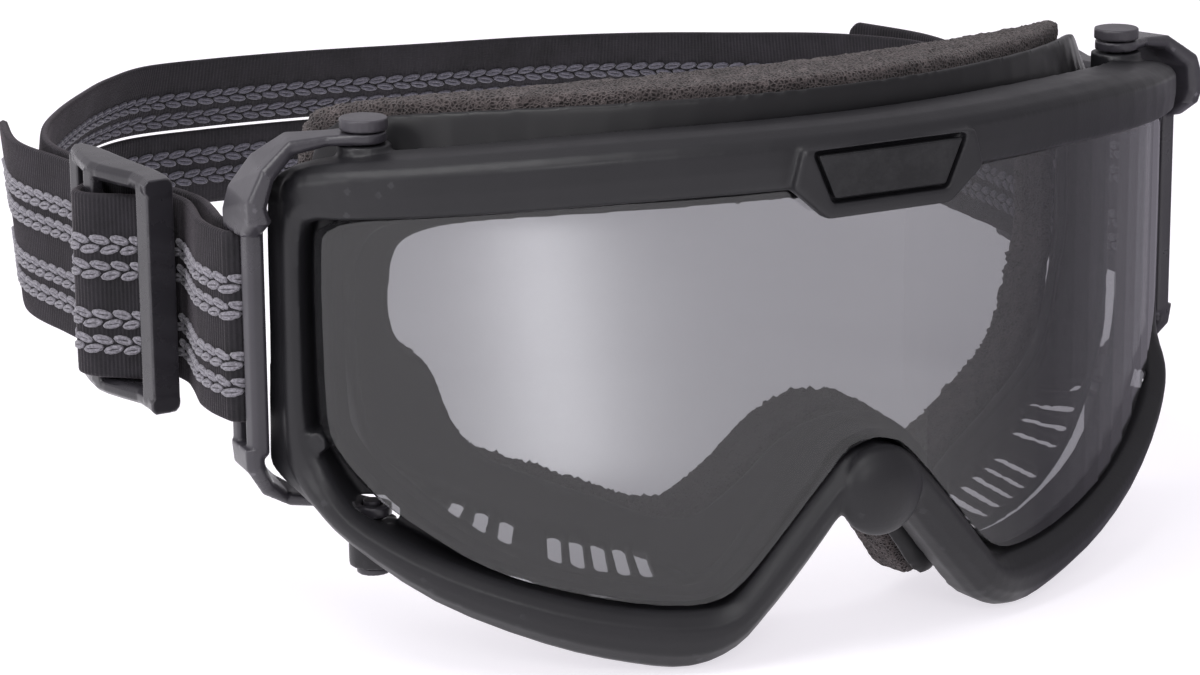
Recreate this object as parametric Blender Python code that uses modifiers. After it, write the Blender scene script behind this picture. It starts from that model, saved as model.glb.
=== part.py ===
"""Over-the-glasses riding goggles: a moulded front frame with a cylindrical lens, a soft face skirt
with foam, hinged outriggers and an elastic strap with two slider buckles.

Lengths below are millimetres and become metres in place(). The wearer looks along -Y, +Z is up and
-X is the wearer's right. Until place() moves them, points are measured from the middle of the brow's
lower front edge, and the front of the frame lies on a cylinder whose upright axis is FRONT_R behind it.
"""

import math

import bmesh
import bpy
from mathutils import Matrix, Vector

MM = 0.001
BACK_SHIFT = -102.16  # brings the middle of the whole outline to y = 0
LIFT = 83.2  # brings the lowest point to z = 0

# Frame and lens: radii about the cylinder's axis.
FRONT_R = 123.0
FRAME_BACK_R = 112.0
LENS_R = 120.0
LENS_THICK = 2.0
GASKET_R = (112.4, 117.6)
SKIRT_FRONT_R = 110.7
SEAM = 0.004  # points of one mesh this close become one
ARC_STEPS = 3  # stations between two rows of an outline table

# Rows run from the middle of the brow round to the middle of the nose. Each holds the inner edge's arc
# and height, the outer edge's arc and height, how far the section is a brow and how far a side post, and
# how far a thin lip at the back reaches in towards the lens.
FRAME_ROWS = [
    (0, 0, 0, 10, 1, 0, 0),
    (22, -0.1, 22, 9.9, 1, 0, 0),
    (45, -0.6, 45, 9.4, 1, 0, 0),
    (66, -1.9, 66, 8.1, 1, 0, 0),
    (82, -3, 83, 6.6, 1, 0, 0),
    (93, -3.8, 97, 5, 0.9, 0.1, 0),
    (100, -5, 104.8, 2, 0.5, 0.5, 2.6),
    (102.2, -9.5, 106, -6, 0, 1, 3.4),
    (102.4, -25, 106.2, -25, 0, 1, 3.6),
    (102, -41, 106.2, -42.5, 0, 1, 3.9),
    (99, -46.6, 104.8, -49.2, 0, 0.85, 3.5),
    (95.2, -52, 101, -54.8, 0, 0.2, 4),
    (89.6, -56.6, 94.8, -60.8, 0, 0, 3.6),
    (76.2, -62.8, 79.8, -70.4, 0, 0, 1.6),
    (58.6, -68.3, 60.6, -77.9, 0, 0, 0.2),
    (44.2, -71.3, 45.2, -81.9, 0, 0, 0.2),
    (33.5, -72.2, 34.6, -83.2, 0, 0, 0.1),
    (28.2, -71.6, 26.4, -80.4, 0, 0, 0),
    (25, -69, 20.4, -74.8, 0, 0, 0),
    (20.6, -63.9, 14.6, -68.6, 0, 0, 0),
    (15.3, -57.8, 9.6, -62.8, 0, 0, 0),
    (10.0, -52.1, 6.8, -59.6, 0, 0, 0),
    (5.6, -48.1, 3.6, -58.6, 0, 0, 0),
    (0, -46.6, 0, -58.2, 0, 0, 0),
]

LIP_R = (112.0, 113.4)  # the lip's back and front, clear of the gasket

# A section's points, from the inner front edge over the front to the back: the fraction of the way from
# the inner to the outer edge, and the radius. A post's flank runs straight back, beyond its outer edge.
BROW_SECTION = [
    (0, 112), (0, 122.4), (0.07, 123.4), (0.4, 123.6), (0.74, 123.3), (0.86, 122.2), (0.97, 119.6),
    (1, 117), (1, 112),
]
POST_SECTION = [
    (0, 112), (0, 117.4), (0.12, 119), (0.4, 119.6), (0.76, 119.5), (1, 118.8), (1.1, 118.2),
    (2.1, 116), (2, 115),
]
RIM_SECTION = [
    (0, 112), (0, 120.2), (0.08, 121.6), (0.22, 122.9), (0.4, 123.1), (0.66, 122.2), (0.9, 119.8),
    (1, 117), (0.96, 112),
]

# Half of the lens outline: arc at LENS_R and height, from the middle of the top to the middle of the nose.
LENS_ROWS = [
    (0, -0.7), (45, -1.3), (66, -2.6), (82, -3.8), (90, -4.6), (94.6, -6.4), (95.7, -10), (95.8, -24),
    (95.4, -38), (94.0, -43.2), (90, -48.3), (84.8, -53.3), (79, -57.2), (72, -61.6), (64.4, -65),
    (56.5, -67.3), (44.5, -70.1), (34.5, -71.3), (28.8, -70.6), (24.5, -67.8), (19.6, -62.5), (14.3, -56.4),
    (9, -50.5), (4.9, -46.8), (0, -45.5),
]

# Badge and its shield on the brow: half widths at the top and bottom, and heights.
SHIELD = [(18.8, 0.4), (12.2, -5.3), (-12.2, -5.3), (-18.8, 0.4), (-17, 7), (17, 7)]
SHIELD_FRONT, SHIELD_BACK = -1.3, 2.2
POCKET = [(15.4, 6.5), (11.4, -2.6), (-11.4, -2.6), (-15.4, 6.5)]
POCKET_DEPTH = 1.8
BADGE_GAP = 0.8
NOSE_CAP = (0, 1.2, -54.4)
NOSE_CAP_R = (8.0, 4.4, 8.0)
LUG_ARC, LUG_HEIGHT, LUG_R = 100.6, -43.4, 1.9

# Soft skirt and foam. Rows: lens-side edge's arc and height, flange's outer edge x and height, and the
# face opening's x and height, and how much deeper the flange is there.
SKIRT_ROWS = [
    (0, -2.4, 0, 15.2, 0, -5, 0),
    (28, -2.6, 26, 15, 24, -5.1, 0),
    (50, -3.4, 46, 14.2, 42, -5.8, 0),
    (68, -4.6, 62, 12.8, 56, -7, 0),
    (82, -6.2, 72, 11, 64.4, -9, 0),
    (90, -8.6, 76.6, 8.4, 68.6, -12.6, 0),
    (93.6, -16, 78.2, 0, 69.8, -20, 0),
    (93.6, -27, 78.4, -24, 69.2, -28.4, 0),
    (93.2, -35, 78.4, -36, 64.8, -33.4, 0.8),
    (90, -46.4, 76, -46, 61.4, -43.2, 2.5),
    (82, -53.8, 68.5, -53, 56, -49.8, 5.5),
    (70, -61.6, 57.4, -58.4, 47, -54.2, 8),
    (56, -67.2, 46.5, -63, 37, -58.4, 9),
    (44, -69.8, 36, -66.4, 29.8, -61.4, 8.5),
    (34, -70.4, 27.4, -71, 24.6, -61.2, 5.5),
    (27.6, -68.2, 21.4, -77, 20.6, -56.2, 1.6),
    (22, -62.6, 16.6, -77, 16.4, -51.4, 0),
    (16.6, -56, 11.6, -70.4, 12, -47.4, 0),
    (9, -48, 6.2, -63.4, 6.4, -44.6, 0),
    (0, -44, 0, -60.8, 0, -43.6, 0),
]
FLOOR_ROWS = (9, 15)  # the rows of the skirt's floor, which the air slits are cut through
NOSE_ROWS = 14  # the foam's last rows, from this one, belong to the nose pad
FACE_R = 89.8  # plan radius of the flange, which follows the face
FLANGE_FRONT = 14.0
SKIRT_WALL = 2.0
FOAM_GAP = 0.8
FOAM_INNER = (12.4, 12.8)  # depth at the opening, at the middle and at the temples
FOAM_OUTER = (11.6, 3.4)  # depth at the outer edge
FOAM_SPLIT = 0.5  # half the gap between the face foam and the nose foam
VENT_GROUPS = [(39.3, 5, 4.4), (66.4, 4, 4.9)]  # first slit's arc from the middle, number and pitch
VENT_WIDTH, VENT_LENGTH = 2.2, 8.8

# Outrigger: pivot axis, strap bars and the direction in which the strap leaves.
PIVOT = (76.7, 41.1)
PIN_R, PIN_CLEARANCE = 1.6, 0.3
BAR_FRONT = (94.0, 49.0)
BAR_TOP, BAR_BOTTOM = -6.5, -46.5
STRAP_DIR = Vector((0.085, 0.996, 0)).normalized()
STRAP_OUT = Vector((STRAP_DIR.y, -STRAP_DIR.x, 0))
BAR_PITCH = 5.8

# Strap and slider. The band behind the head is split along its middle, where it cups outwards.
STRAP_Z = -24.4
STRAP_HALF = 16.6
STRAP_THICK = 1.6
LOOP_OUT = 2.3  # how far the strap's two layers lie from the outrigger's rear bar, to each side

# Runs of the strap in plan: distance back from the outrigger's rear bar, and outwards from its line. The
# inner layer goes on as the band behind the head, and the outer one ends loose, as the tail.
INNER_RUN = [(9.5, -2.3), (16, -3.6), (22, -4.2), (64, -4.2)]
OUTER_RUN = [
    (9.5, 2.3), (12.5, 0.6), (16, -1.2), (20, -1.4), (68, -1.4), (74, -1.2), (80, -1.3), (86, -2.2),
    (92, -4.2), (99, -7.2), (104, -9.4),
]

# Slider: where its middle is along the strap, its two rails and three bars. Distances are from its middle.
SLIDER_AT = 37.4
SLIDER_RAIL = 19.3
SLIDER_Z = -23.7
RAIL_HEIGHT = 3
RAIL_ROWS = [  # along, outer edge and inner edge
    (-17, 6.2, 0.6), (-14, 5.5, -0.3), (-9, 4.9, -0.9), (-4, 6, -0.9), (0, 6.7, -0.9), (3, 6.8, -1),
    (7.5, 5.8, -1.2), (13, 4.2, -1.3), (17.6, 2.6, -0.5),
]
SLIDER_BARS = [  # along, outwards, half length and half depth
    (-14.6, 3, 2.2, 2.6), (3, 5.7, 1.7, 1.2), (15.6, 1.6, 1.6, 1.6),
]
FOLD = [  # the outer layer's fold over the middle bar, from the slider's middle
    (-11.6, 0.9), (-7.5, 1.2), (-5, 2.6), (-2.5, 5), (-0.4, 7.2), (1.4, 8.2), (3.4, 8.6), (5.3, 7.9),
    (7.6, 5.4), (10, 2.6), (12.6, 1),
]


# Band behind the head, from the wearer's right round to the left: x and y of its middle line and how far it
# cups.
BAND = [
    (-96.1, 122, 0), (-96.4, 137, 0.15), (-92, 152.5, 0.35), (-84.5, 168, 0.6), (-75.5, 182, 0.8),
    (-66, 193.5, 0.9), (-53, 202.5, 0.9), (-36, 203.5, 0.9), (-14, 201.5, 0.95), (10, 196.5, 1), (35, 191, 1),
    (57, 182.6, 1), (75, 171, 0.95), (88.2, 156, 0.55), (96, 138, 0.2), (96.1, 122, 0),
]
CUP_TOP, CUP_BOTTOM, CUP_DROP = 7.0, -3.4, 1.0
SLIT_SPAN = (4, 11)  # rows of BAND between which the slit is open
SLIT_HALF = 0.6


def place(point):
    return Vector((point[0], point[1] + BACK_SHIFT, point[2] + LIFT)) * MM


def on_cylinder(arc, radius, height, arc_radius=FRONT_R):
    angle = arc / arc_radius
    return (radius * math.sin(angle), FRONT_R - radius * math.cos(angle), height)


def smoothed(rows, steps=ARC_STEPS):
    """Catmull-Rom rows between the given ones, with both ends mirrored across the middle plane."""
    result = []
    for index in range(len(rows) - 1):
        here, after = rows[index], rows[index + 1]
        before = rows[index - 1] if index else here
        beyond = rows[index + 2] if index + 2 < len(rows) else after
        for step in range(steps):
            t = step / steps
            result.append(tuple(
                b + ((c - a) * t + (2 * a - 5 * b + 4 * c - d) * t**2 + (3 * b - a - 3 * c + d) * t**3) / 2
                for a, b, c, d in zip(before, here, after, beyond)
            ))
    result.append(rows[-1])
    return result


def full_ring(half, mirror):
    """The half rows, then the mirrored ones back to the start."""
    return half + [mirror(row) for row in reversed(half[1:-1])]


def material(name, color, roughness, alpha=1.0):
    made = bpy.data.materials.new(name)
    made.use_nodes = True
    shader = made.node_tree.nodes["Principled BSDF"]
    shader.inputs["Base Color"].default_value = (*color, 1)
    shader.inputs["Roughness"].default_value = roughness
    shader.inputs["Alpha"].default_value = alpha
    made.diffuse_color = (*color, alpha)
    return made


def add_object(name, mesh, collection, color=(0.02, 0.02, 0.02), roughness=0.6, alpha=1.0):
    obj = bpy.data.objects.new(name, mesh)
    collection.objects.link(obj)
    mesh.materials.append(material(name, color, roughness, alpha))
    return obj


def mesh_from(points, faces, name="shape"):
    mesh = bpy.data.meshes.new(name)
    mesh.from_pydata([place(point) for point in points], [], faces)
    shape = bmesh.new()
    shape.from_mesh(mesh)
    bmesh.ops.recalc_face_normals(shape, faces=shape.faces)
    shape.to_mesh(mesh)
    shape.free()
    return mesh


def ring_loft(sections, closed_section=True):
    """A surface through sections that follow each other round a ring."""
    count, size = len(sections), len(sections[0])
    points = [point for section in sections for point in section]
    spans = size if closed_section else size - 1
    faces = [
        (
            ring * size + side,
            ring * size + (side + 1) % size,
            (ring + 1) % count * size + (side + 1) % size,
            (ring + 1) % count * size + side,
        )
        for ring in range(count)
        for side in range(spans)
    ]
    return mesh_from(points, faces)


def bar_loft(sections):
    """A solid through sections that follow each other along a bar, capped at both ends."""
    size = len(sections[0])
    points = [point for section in sections for point in section]
    faces = [
        (ring * size + side, ring * size + (side + 1) % size, (ring + 1) * size + (side + 1) % size,
         (ring + 1) * size + side)
        for ring in range(len(sections) - 1)
        for side in range(size)
    ]
    last = (len(sections) - 1) * size
    faces.append(tuple(range(size)))
    faces.append(tuple(last + side for side in range(size)))
    return mesh_from(points, faces)


def prism(outline, front, back):
    """A straight extrusion along Y of an outline of (x, z) points."""
    count = len(outline)
    points = [(x, front, z) for x, z in outline] + [(x, back, z) for x, z in outline]
    faces = [(i, (i + 1) % count, count + (i + 1) % count, count + i) for i in range(count)]
    faces.append(tuple(range(count)))
    faces.append(tuple(count + i for i in range(count)))
    return mesh_from(points, faces)


def upright_cylinder(x, y, low, high, radius, segments=24):
    mesh = bpy.data.meshes.new("cylinder")
    shape = bmesh.new()
    spot = place((x, y, (low + high) / 2))
    bmesh.ops.create_cone(
        shape, cap_ends=True, segments=segments, radius1=radius * MM, radius2=radius * MM,
        depth=(high - low) * MM, matrix=Matrix.Translation(spot),
    )
    shape.to_mesh(mesh)
    shape.free()
    return mesh


def box(center, half, turn=0.0):
    """A box with its half sizes in mm, turned about Z through its middle."""
    mesh = bpy.data.meshes.new("box")
    shape = bmesh.new()
    size = Matrix.Diagonal((*[2 * side * MM for side in half], 1))
    bmesh.ops.create_cube(
        shape, size=1, matrix=Matrix.Translation(place(center)) @ Matrix.Rotation(turn, 4, "Z") @ size
    )
    shape.to_mesh(mesh)
    shape.free()
    return mesh


def ball(center, radii):
    mesh = bpy.data.meshes.new("ball")
    shape = bmesh.new()
    size = Matrix.Diagonal((*[r * MM for r in radii], 1))
    bmesh.ops.create_uvsphere(
        shape, u_segments=28, v_segments=16, radius=1, matrix=Matrix.Translation(place(center)) @ size
    )
    shape.to_mesh(mesh)
    shape.free()
    return mesh


def beveled(mesh, width, segments=2, angle=40):
    obj = bpy.data.objects.new("bevel", mesh)
    bpy.context.scene.collection.objects.link(obj)
    modifier = obj.modifiers.new("bevel", "BEVEL")
    modifier.width = width * MM
    modifier.segments = segments
    modifier.limit_method = "ANGLE"
    modifier.angle_limit = math.radians(angle)
    return baked(obj)


def baked(obj):
    """The object's mesh with its modifiers applied. The object goes."""
    bpy.context.view_layer.update()
    evaluated = obj.evaluated_get(bpy.context.evaluated_depsgraph_get())
    mesh = bpy.data.meshes.new_from_object(evaluated)
    bpy.data.objects.remove(obj)
    return mesh


def combined(mesh, steps, cutters):
    """The mesh after a list of (operation, mesh) Boolean steps, each applied before the next."""
    for operation, tool_mesh in steps:
        body = bpy.data.objects.new("body", mesh)
        bpy.context.scene.collection.objects.link(body)
        tool = bpy.data.objects.new("cutter", tool_mesh)
        tool.hide_render = True
        tool.display_type = "WIRE"
        cutters.objects.link(tool)
        modifier = body.modifiers.new(operation, "BOOLEAN")
        modifier.operation = operation
        modifier.solver = "EXACT"
        modifier.object = tool
        mesh = baked(body)
        tidy(mesh)
    return mesh


def tidy(mesh):
    """Closes up the zero-length edges that a Boolean leaves, which would spoil the next one."""
    shape = bmesh.new()
    shape.from_mesh(mesh)
    bmesh.ops.remove_doubles(shape, verts=shape.verts, dist=SEAM * MM)
    bmesh.ops.dissolve_degenerate(shape, edges=shape.edges, dist=SEAM * MM)
    bmesh.ops.triangulate(shape, faces=[face for face in shape.faces if len(face.verts) > 4])
    shape.to_mesh(mesh)
    shape.free()


def solidified(mesh, thickness, offset=0.0):
    obj = bpy.data.objects.new("sheet", mesh)
    bpy.context.scene.collection.objects.link(obj)
    modifier = obj.modifiers.new("wall", "SOLIDIFY")
    modifier.thickness = thickness * MM
    modifier.offset = offset
    modifier.use_even_offset = False
    return baked(obj)


def smooth(mesh, angle=35):
    for polygon in mesh.polygons:
        polygon.use_smooth = True
    shape = bmesh.new()
    shape.from_mesh(mesh)
    for edge in shape.edges:
        if len(edge.link_faces) == 2 and edge.calc_face_angle() > math.radians(angle):
            edge.smooth = False
    shape.to_mesh(mesh)
    shape.free()


def frame_section(row):
    inner_arc, inner_z, outer_arc, outer_z, brow, post, lip = row
    rim = 1 - brow - post
    reach = -lip / math.hypot(outer_arc - inner_arc, outer_z - inner_z)
    shape = [(reach, LIP_R[0]), (reach, LIP_R[1]), (0, LIP_R[1] + 0.4)]
    for a, b, c in list(zip(BROW_SECTION, POST_SECTION, RIM_SECTION))[1:]:
        shape.append([brow * along + post * side + rim * low for along, side, low in zip(a, b, c)])
    section = []
    for across, radius in shape:
        arc = inner_arc + (outer_arc - inner_arc) * across
        section.append(on_cylinder(arc, radius, inner_z + (outer_z - inner_z) * min(across, 1)))
    return section


def trapezoid(outline, inset):
    """The pocket's outline drawn in on every side."""
    top, bottom = outline[0], outline[1]
    slope = (top[0] - bottom[0]) / (top[1] - bottom[1])
    side = inset * math.hypot(1, slope)
    high, low = top[1] - inset, bottom[1] + inset
    wide = bottom[0] + (high - bottom[1]) * slope - side
    narrow = bottom[0] + (low - bottom[1]) * slope - side
    return [(wide, high), (narrow, low), (-narrow, low), (-wide, high)]


def build_frame(parts, cutters):
    rows = full_ring(smoothed(FRAME_ROWS), lambda r: (-r[0], r[1], -r[2], *r[3:]))
    body = ring_loft([frame_section(row) for row in rows])
    hole = PIN_R + PIN_CLEARANCE
    pivots = [(side, side * PIVOT[0], PIVOT[1]) for side in (-1, 1)]
    steps = [
        ("UNION", beveled(prism(SHIELD, SHIELD_FRONT, SHIELD_BACK), 0.7)),
        ("UNION", ball(NOSE_CAP, NOSE_CAP_R)),
        ("DIFFERENCE", prism(POCKET, SHIELD_FRONT - 3, SHIELD_FRONT + POCKET_DEPTH)),
    ]
    for side, x, y in pivots:
        steps.append(("DIFFERENCE", upright_cylinder(x + side * 1.3, y + 1.4, -57.6, -53.4, 7.1)))
    for side, x, y in pivots:
        steps += [
            ("UNION", upright_cylinder(x, y, 2.4, 7.2, 4.6)),
            ("UNION", upright_cylinder(x, y, -66, -57.8, 4.2)),
            ("UNION", lug(side)),
        ]
    for side, x, y in pivots:
        steps.append(("DIFFERENCE", upright_cylinder(x, y, 1, 8, hole, 18)))
        steps.append(("DIFFERENCE", upright_cylinder(x, y, -67, -56.7, hole, 18)))
    mesh = combined(body, steps, cutters)
    smooth(mesh, 40)
    add_object("front_frame", mesh, parts, (0.03, 0.029, 0.032), 0.5)

    badge = trapezoid(POCKET, BADGE_GAP)
    mesh = beveled(prism(badge, SHIELD_FRONT, SHIELD_FRONT + POCKET_DEPTH - 0.4), 0.25, 1)
    add_object("badge_plate", mesh, parts, (0.018, 0.018, 0.02), 0.45)


def lug(side):
    """The round lug that stops the lens at each lower corner, a short cylinder along the radius."""
    mesh = bpy.data.meshes.new("lug")
    shape = bmesh.new()
    angle = side * LUG_ARC / FRONT_R
    center = on_cylinder(side * LUG_ARC, 116, LUG_HEIGHT)
    turn = Matrix.Rotation(angle, 4, "Z") @ Matrix.Rotation(math.pi / 2, 4, "X")
    bmesh.ops.create_cone(
        shape, cap_ends=True, segments=20, radius1=LUG_R * MM, radius2=LUG_R * MM, depth=6 * MM,
        matrix=Matrix.Translation(place(center)) @ turn,
    )
    bmesh.ops.recalc_face_normals(shape, faces=shape.faces)
    shape.to_mesh(mesh)
    shape.free()
    return mesh


def cylinder_patch(outer, inner, outer_r, inner_r):
    """A ring between two outlines of (arc, height) rows, between two radii. All four edges are closed."""
    sections = []
    for (outer_arc, outer_z), (inner_arc, inner_z) in zip(outer, inner):
        sections.append([
            on_cylinder(outer_arc, outer_r, outer_z, LENS_R),
            on_cylinder(outer_arc, inner_r, outer_z, LENS_R),
            on_cylinder(inner_arc, inner_r, inner_z, LENS_R),
            on_cylinder(inner_arc, outer_r, inner_z, LENS_R),
        ])
    return ring_loft(sections)


def inset_outline(outline, distance):
    """The closed outline moved in by a distance along its own normal."""
    count = len(outline)
    result = []
    for index, (arc, height) in enumerate(outline):
        before, after = outline[index - 1], outline[(index + 1) % count]
        along = Vector((after[0] - before[0], after[1] - before[1])).normalized()
        result.append((arc + along.y * distance, height - along.x * distance))
    return result


def build_lens(parts, cutters):
    half = smoothed(LENS_ROWS, 2)
    outline = full_ring(half, lambda r: (-r[0], r[1]))
    sheet = lens_grid()
    body = solidified(sheet, LENS_THICK, -1)
    plan = [on_cylinder(arc, LENS_R, height, LENS_R) for arc, height in outline]
    cutter = prism([(x, z) for x, y, z in plan], -20, 75)
    mesh = combined(body, [("INTERSECT", cutter)], cutters)
    smooth(mesh)
    add_object("lens", mesh, parts, (0.35, 0.35, 0.37), 0.05, 0.35)

    outer = inset_outline(outline, 0.0)
    inner = inset_outline(outline, 1.0)
    mesh = cylinder_patch(outer, inner, GASKET_R[1], GASKET_R[0])
    smooth(mesh)
    add_object("lens_gasket", mesh, parts, (0.012, 0.012, 0.013), 0.7)


def lens_grid():
    """An upright band of the lens cylinder, a little larger than the lens."""
    arcs = [-99 + 5.5 * i for i in range(37)]
    low, high = -76.0, 3.0
    points = [on_cylinder(arc, LENS_R, height, LENS_R) for arc in arcs for height in (low, high)]
    faces = [(2 * i, 2 * i + 1, 2 * i + 3, 2 * i + 2) for i in range(len(arcs) - 1)]
    mesh = bpy.data.meshes.new("lens")
    mesh.from_pydata([place(point) for point in points], [], faces)
    if mesh.polygons[len(faces) // 2].normal.y > 0:
        mesh.flip_normals()
    return mesh


def flange_y(x):
    return FLANGE_FRONT + FACE_R - math.sqrt(FACE_R**2 - x * x)


def skirt_rings():
    half = smoothed(SKIRT_ROWS)
    return full_ring(half, lambda r: (-r[0], r[1], -r[2], r[3], -r[4], r[5], r[6]))


def build_skirt(parts, cutters):
    sections = []
    for lens_arc, lens_z, edge_x, edge_z, hole_x, hole_z, deeper in skirt_rings():
        front = on_cylinder(lens_arc, SKIRT_FRONT_R, lens_z, LENS_R)
        edge = (edge_x, flange_y(edge_x) + deeper, edge_z)
        bend = tuple(e + (f - e) * 0.12 for e, f in zip(edge, front))
        hole = (hole_x, flange_y(hole_x) + deeper + 0.4, hole_z)
        turn = tuple(e + (h - e) * 0.12 for e, h in zip((edge[0], edge[1] + 0.4, edge[2]), hole))
        sections.append([front, bend, turn, hole])
    body = solidified(ring_loft(sections, closed_section=False), SKIRT_WALL)
    slits = []
    for side in (-1, 1):
        for first, count, pitch in VENT_GROUPS:
            for index in range(count):
                arc = first + index * pitch
                slits.append(("DIFFERENCE", slit(side * arc)))
    mesh = combined(body, slits, cutters)
    smooth(mesh)
    add_object("face_skirt", mesh, parts, (0.014, 0.014, 0.015), 0.42)


def floor_height(arc):
    first, last = FLOOR_ROWS
    rows = SKIRT_ROWS[first:last][::-1]
    for low, high in zip(rows, rows[1:]):
        if low[0] <= abs(arc) <= high[0]:
            t = (abs(arc) - low[0]) / (high[0] - low[0])
            return low[1] + (high[1] - low[1]) * t
    raise ValueError(f"no floor at {arc}")


def slit(arc):
    """A cutter for one air slit in the skirt's floor, running back from the lens."""
    angle = arc / LENS_R
    radius = SKIRT_FRONT_R - 1.5 - VENT_LENGTH / 2
    center = on_cylinder(arc, radius, floor_height(arc) + 1.6, LENS_R)
    return box(center, (VENT_WIDTH / 2, VENT_LENGTH / 2, 3.4), angle)


def foam_section(row):
    edge_x, edge_z, hole_x, hole_z, deeper = row[2:]
    temple = min(1.0, abs(edge_x) / 78) ** 2
    inner = FOAM_INNER[0] + (FOAM_INNER[1] - FOAM_INNER[0]) * temple
    outer = FOAM_OUTER[0] + (FOAM_OUTER[1] - FOAM_OUTER[0]) * temple
    start = SKIRT_WALL / 2 + 0.4 + FOAM_GAP + 0.6
    lean = Vector((edge_x - hole_x, edge_z - hole_z)).normalized()
    section = []
    for across, depth in ((0, 0), (0, 0.85), (0.1, 1), (0.5, 1.02), (0.88, 1), (1, 0.82), (1, 0)):
        x = hole_x + (edge_x - hole_x) * across
        z = hole_z + (edge_z - hole_z) * across
        grow = 1.2 * depth * across * (1 - temple)
        thick = inner + (outer - inner) * across
        section.append((x + lean.x * grow, flange_y(x) + deeper + start + thick * depth, z + lean.y * grow))
    return section


def build_foam(parts):
    rings = skirt_rings()
    first = NOSE_ROWS * ARC_STEPS
    last = len(rings) - first
    around = rings[last:] + rings[:first + 1]
    nose = rings[first:last + 1]
    face = bar_loft([foam_section(row) for row in around])
    pad = bar_loft([foam_section(row) for row in trimmed(nose)])
    for name, mesh in (("face_foam", face), ("nose_foam", pad)):
        smooth(mesh)
        add_object(name, mesh, parts, (0.075, 0.062, 0.058), 0.95)


def trimmed(rows):
    """The rows with both ends drawn in, so that a pad made from them clears its neighbour."""
    def between(a, b):
        along = math.hypot(a[2] - b[2], a[3] - b[3])
        t = 2 * FOAM_SPLIT / along
        return tuple(p + (q - p) * t for p, q in zip(a, b))
    return [between(rows[0], rows[1])] + rows[1:-1] + [between(rows[-1], rows[-2])]


def outrigger_section(center, across, through, wide, thick):
    """Eight points: a rectangle with its corners cut, in the plane of two directions."""
    across, through = Vector(across).normalized(), Vector(through).normalized()
    cut = 0.28
    w, t = wide / 2, thick / 2
    shape = [
        (w, t - cut * thick), (w - cut * thick, t), (cut * thick - w, t), (-w, t - cut * thick),
        (-w, cut * thick - t), (cut * thick - w, -t), (w - cut * thick, -t), (w, cut * thick - t),
    ]
    return [tuple(Vector(center) + across * a + through * b) for a, b in shape]


def strap_point(side, along, out, z):
    """A point by its distance back along the strap from the rear strap bar, and outwards from the bar."""
    x = BAR_FRONT[0] + STRAP_DIR.x * (BAR_PITCH + along) + STRAP_OUT.x * out
    y = BAR_FRONT[1] + STRAP_DIR.y * (BAR_PITCH + along) + STRAP_OUT.y * out
    return (side * x, y, z)


def build_outrigger(name, side, parts, cutters):
    def flip(vector):
        return (side * vector[0], vector[1], vector[2])

    arm = [
        ((77.5, 41.3, 8.4), (0.3, -1, 0), (0, 0, 1), 7.6, 2),
        ((82.5, 43.6, 8.2), (0.35, -1, 0), (0, 0, 1), 6.4, 1.8),
        ((88, 46.2, 7.4), (0.35, -1, 0), (0.35, 0, 1), 9.4, 2.6),
        ((92.4, 47.6, 3.6), (0.3, -1, 0), (0.75, 0, 0.7), 15, 3),
        ((94.6, 49, -1.4), (0.2, -1, 0), (0.95, 0, 0.35), 16.4, 3.8),
        ((94.6, 49.3, -4.6), (0.09, -1, 0), (1, 0.09, 0), 15.6, 4.2),
        ((94.6, 51.4, -7.6), (0.09, -1, 0), (1, 0.09, 0), 10.8, 3.8),
    ]
    foot = [
        ((94.6, 51.8, -44.8), (0.09, -1, 0), (1, 0.09, 0), 9.4, 3.4),
        ((94.2, 52.2, -48.2), (0.12, -1, 0), (1, 0.09, -0.3), 9.4, 3.4),
        ((90.4, 53.4, -53), (0.4, -1, 0), (0.8, 0.2, -0.8), 7.4, 2.8),
        ((85.6, 54.2, -56), (0.8, -1, 0), (0, 0, -1), 5.6, 2.4),
        ((79.4, 49.4, -56.2), (1, -0.8, 0), (0, 0, -1), 4.8, 2.2),
        ((76.9, 42.6, -56.2), (1, -0.3, 0), (0, 0, -1), 5, 2.2),
    ]
    shape = bar_loft([outrigger_section(flip(c), flip(a), flip(t), w, k) for c, a, t, w, k in arm])
    lower = bar_loft([outrigger_section(flip(c), flip(a), flip(t), w, k) for c, a, t, w, k in foot])
    turn = math.atan2(STRAP_DIR.y, side * STRAP_DIR.x) - math.pi / 2
    middle = (BAR_TOP + BAR_BOTTOM) / 2
    reach = (BAR_TOP - BAR_BOTTOM) / 2
    front_bar = beveled(box(strap_point(side, -BAR_PITCH, 0, middle), (1.6, 1.8, reach), turn), 0.6, 1)
    rear_bar = beveled(box(strap_point(side, 0, 0, middle), (1.1, 1.3, reach), turn), 0.4, 1)
    x, y = side * PIVOT[0], PIVOT[1]
    hole = PIN_R + PIN_CLEARANCE
    steps = [
        ("UNION", lower),
        ("UNION", front_bar),
        ("UNION", rear_bar),
        ("UNION", upright_cylinder(x, y, 7.5, 9.3, 3.9)),
        ("UNION", upright_cylinder(x, y, -57.2, -55.2, 3.4)),
        ("DIFFERENCE", upright_cylinder(x, y, 4, 14, hole, 16)),
        ("DIFFERENCE", upright_cylinder(x, y, -62, -50, hole, 16)),
    ]
    mesh = combined(shape, steps, cutters)
    smooth(mesh, 30)
    add_object(f"outrigger_{name}", mesh, parts, (0.045, 0.043, 0.047), 0.45)


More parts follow.
